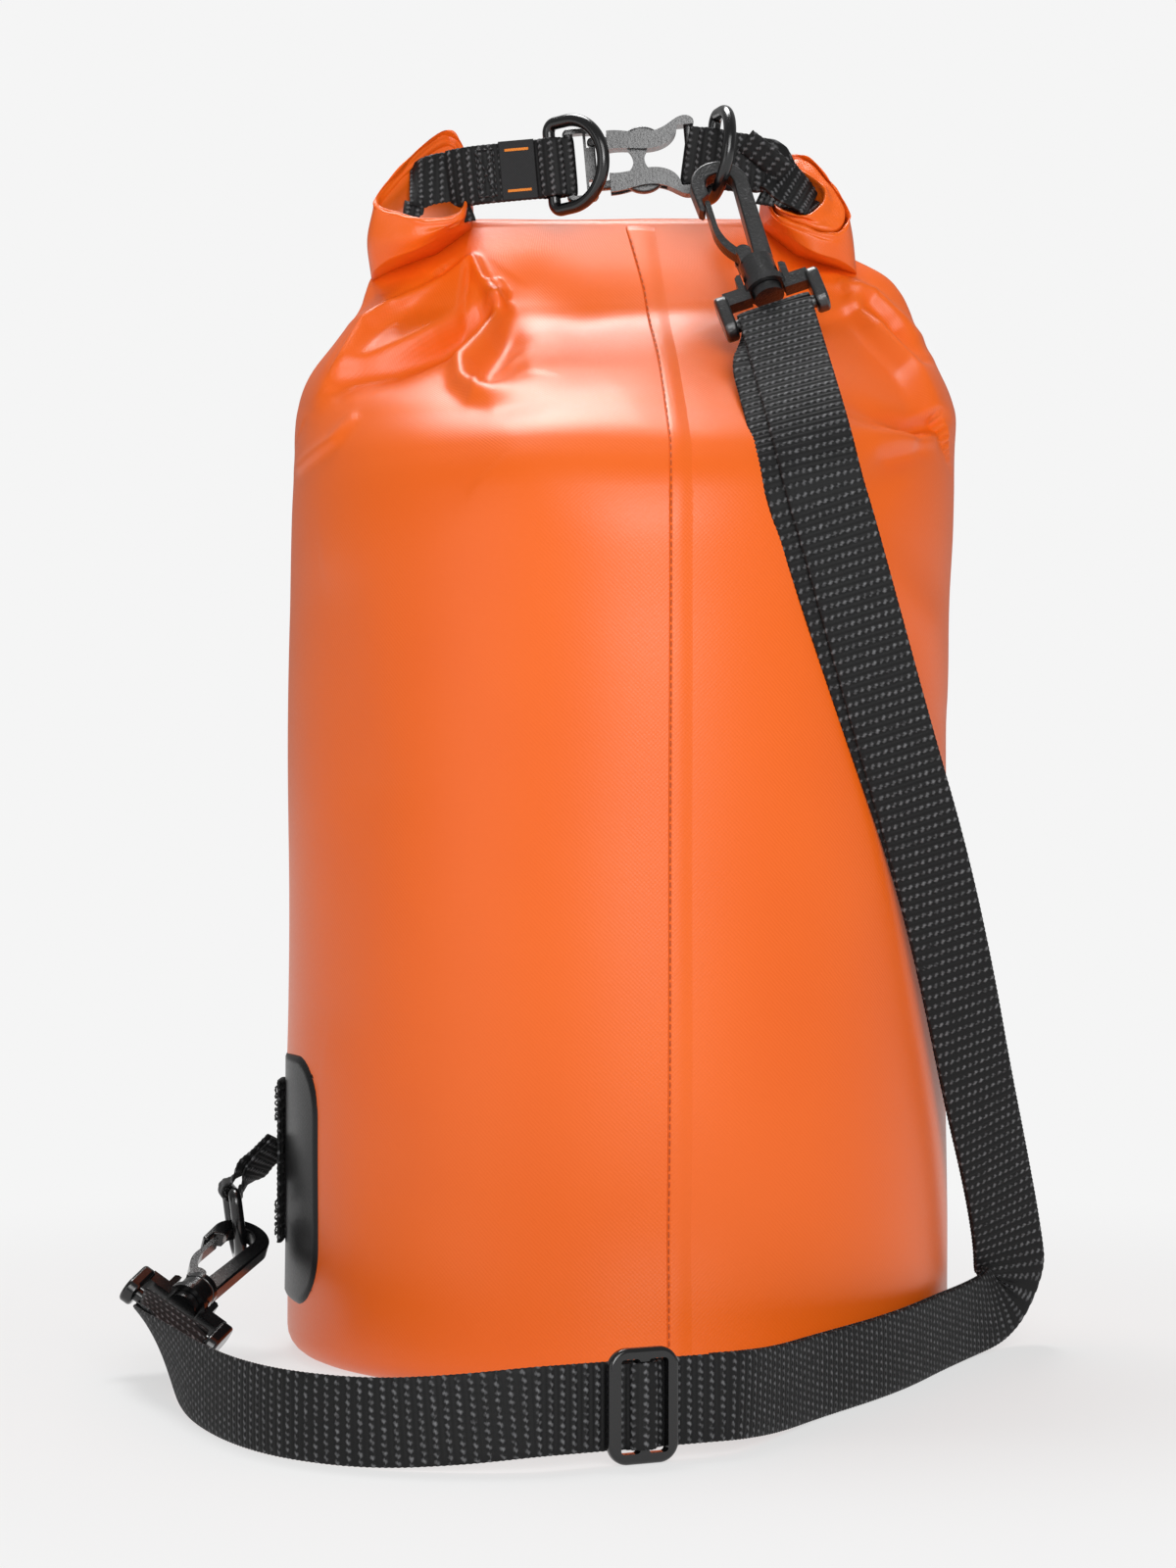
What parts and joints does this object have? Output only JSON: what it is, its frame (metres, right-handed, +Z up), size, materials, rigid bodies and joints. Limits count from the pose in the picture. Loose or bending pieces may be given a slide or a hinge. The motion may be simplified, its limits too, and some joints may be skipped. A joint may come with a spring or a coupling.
{
  "type": "dry bag",
  "caption": "Roll-top dry bag with side-release buckle, D-rings and a shoulder strap on swivel hooks, standing upright with the strap on the floor.",
  "frame": {"origin": "middle of the round base, on the floor", "axes": "+Z up along the bag; +Y from the seam side to the side with the rolled mouth; +X to the right seen from the seam side"},
  "size_m": [0.31, 0.3529, 0.4242],
  "materials": {
    "cloth": "satin PVC-coated cloth with a fine woven grid",
    "webbing": "ribbed flat webbing",
    "hard_plastic": "moulded plastic, fairly glossy",
    "patch_cloth": "satin coated cloth",
    "label_cloth": "fine woven tape"
  },
  "bodies": {
    "bag": {"bag_body": "cloth", "base_disc": "cloth", "back_seam": "cloth", "rolled_mouth": "cloth", "mouth_stiffener": "hard_plastic", "roll_end_left": "cloth", "roll_end_right": "cloth", "closure_webbing_right": "webbing", "webbing_tail": "webbing", "buckle_female": "hard_plastic", "shoulder_strap": "webbing", "strap_return": "webbing", "strap_sewn_end": "webbing", "upper_loop": "webbing", "lower_loop": "webbing", "side_patch": "patch_cloth", "anchor_strip": "webbing", "anchor_loop": "webbing"},
    "buckle_male": {"buckle_male": "hard_plastic", "closure_webbing_left": "webbing", "woven_label": "label_cloth"},
    "arm_upper": {"release_arm_upper": "hard_plastic"},
    "arm_lower": {"release_arm_lower": "hard_plastic"},
    "closure_ring": {"closure_ring": "hard_plastic"},
    "upper_ring": {"upper_ring": "hard_plastic"},
    "lower_ring": {"lower_ring": "hard_plastic"},
    "upper_yoke": {"upper_yoke": "hard_plastic"},
    "upper_hook": {"upper_hook": "hard_plastic"},
    "upper_gate": {"upper_gate": "hard_plastic"},
    "lower_yoke": {"lower_yoke": "hard_plastic"},
    "lower_hook": {"lower_hook": "hard_plastic"},
    "lower_gate": {"lower_gate": "hard_plastic"},
    "strap_slider": {"strap_slider": "hard_plastic", "slider_turn": "webbing"}
  },
  "joints": [
    {"name": "buckle_slide", "type": "slide", "parent": "bag", "child": "buckle_male", "axis": [-0.9962, 0, -0.0872], "range_m": [0, 0.019]},
    {"name": "arm_upper_press", "type": "hinge", "parent": "buckle_male", "child": "arm_upper", "pos_m": [-0.00877, -0.01, 0.41288], "axis": [0, 1, 0], "range_deg": [0, 3], "stiffness_Nm_per_rad": 0.3},
    {"name": "arm_lower_press", "type": "hinge", "parent": "buckle_male", "child": "arm_lower", "pos_m": [-0.00747, -0.01, 0.39793], "axis": [0, 1, 0], "range_deg": [-3, 0], "stiffness_Nm_per_rad": 0.3},
    {"name": "closure_ring_swing", "type": "hinge", "parent": "buckle_male", "child": "closure_ring", "pos_m": [-0.02247, -0.01, 0.40415], "axis": [-0.0872, 0, 0.9962], "range_deg": [-80, 15]},
    {"name": "upper_ring_swing", "type": "hinge", "parent": "bag", "child": "upper_ring", "pos_m": [0.03189, -0.01, 0.40743], "axis": [0.1305, 0, 0.9914], "range_deg": [-2, 2]},
    {"name": "upper_yoke_tilt", "type": "hinge", "parent": "bag", "child": "upper_yoke", "pos_m": [0.05207, -0.05321, 0.34765], "axis": [0.9491, 0.0035, 0.315], "range_deg": [-1, 1]},
    {"name": "upper_swivel", "type": "hinge", "parent": "upper_yoke", "child": "upper_hook", "pos_m": [0.05207, -0.05321, 0.34765], "axis": [-0.2776, 0.482, 0.831], "range_deg": [-5, 5]},
    {"name": "upper_gate_press", "type": "hinge", "parent": "upper_hook", "child": "upper_gate", "pos_m": [0.04171, -0.04124, 0.36841], "axis": [-0.0181, 0.8622, -0.5062], "range_deg": [0, 12], "stiffness_Nm_per_rad": 0.04, "springref_deg": -11.46},
    {"name": "slider_move", "type": "slide", "parent": "bag", "child": "strap_slider", "axis": [-0.899, -0.438, 0], "range_m": [-0.01, 0.01]},
    {"name": "lower_ring_swing", "type": "hinge", "parent": "bag", "child": "lower_ring", "pos_m": [-0.1324, -0.0051, 0.0537], "axis": [-0.1903, 0.9817, 0], "range_deg": [-1, 1]},
    {"name": "lower_yoke_tilt", "type": "hinge", "parent": "bag", "child": "lower_yoke", "pos_m": [-0.14545, -0.06803, 0.01858], "axis": [0.8178, -0.105, -0.5659], "range_deg": [-0.5, 0.5]},
    {"name": "lower_swivel", "type": "hinge", "parent": "lower_yoke", "child": "lower_hook", "pos_m": [-0.14545, -0.06803, 0.01858], "axis": [0.3354, 0.886, 0.3203], "range_deg": [-4, 4]},
    {"name": "lower_gate_press", "type": "hinge", "parent": "lower_hook", "child": "lower_gate", "pos_m": [-0.13975, -0.04438, 0.02808], "axis": [-0.256, 0.4129, -0.8741], "range_deg": [0, 12], "stiffness_Nm_per_rad": 0.04, "springref_deg": -11.46}
  ],
  "couplings": [
    {"joint": "arm_lower_press", "follows": "arm_upper_press", "ratio": -1}
  ]
}
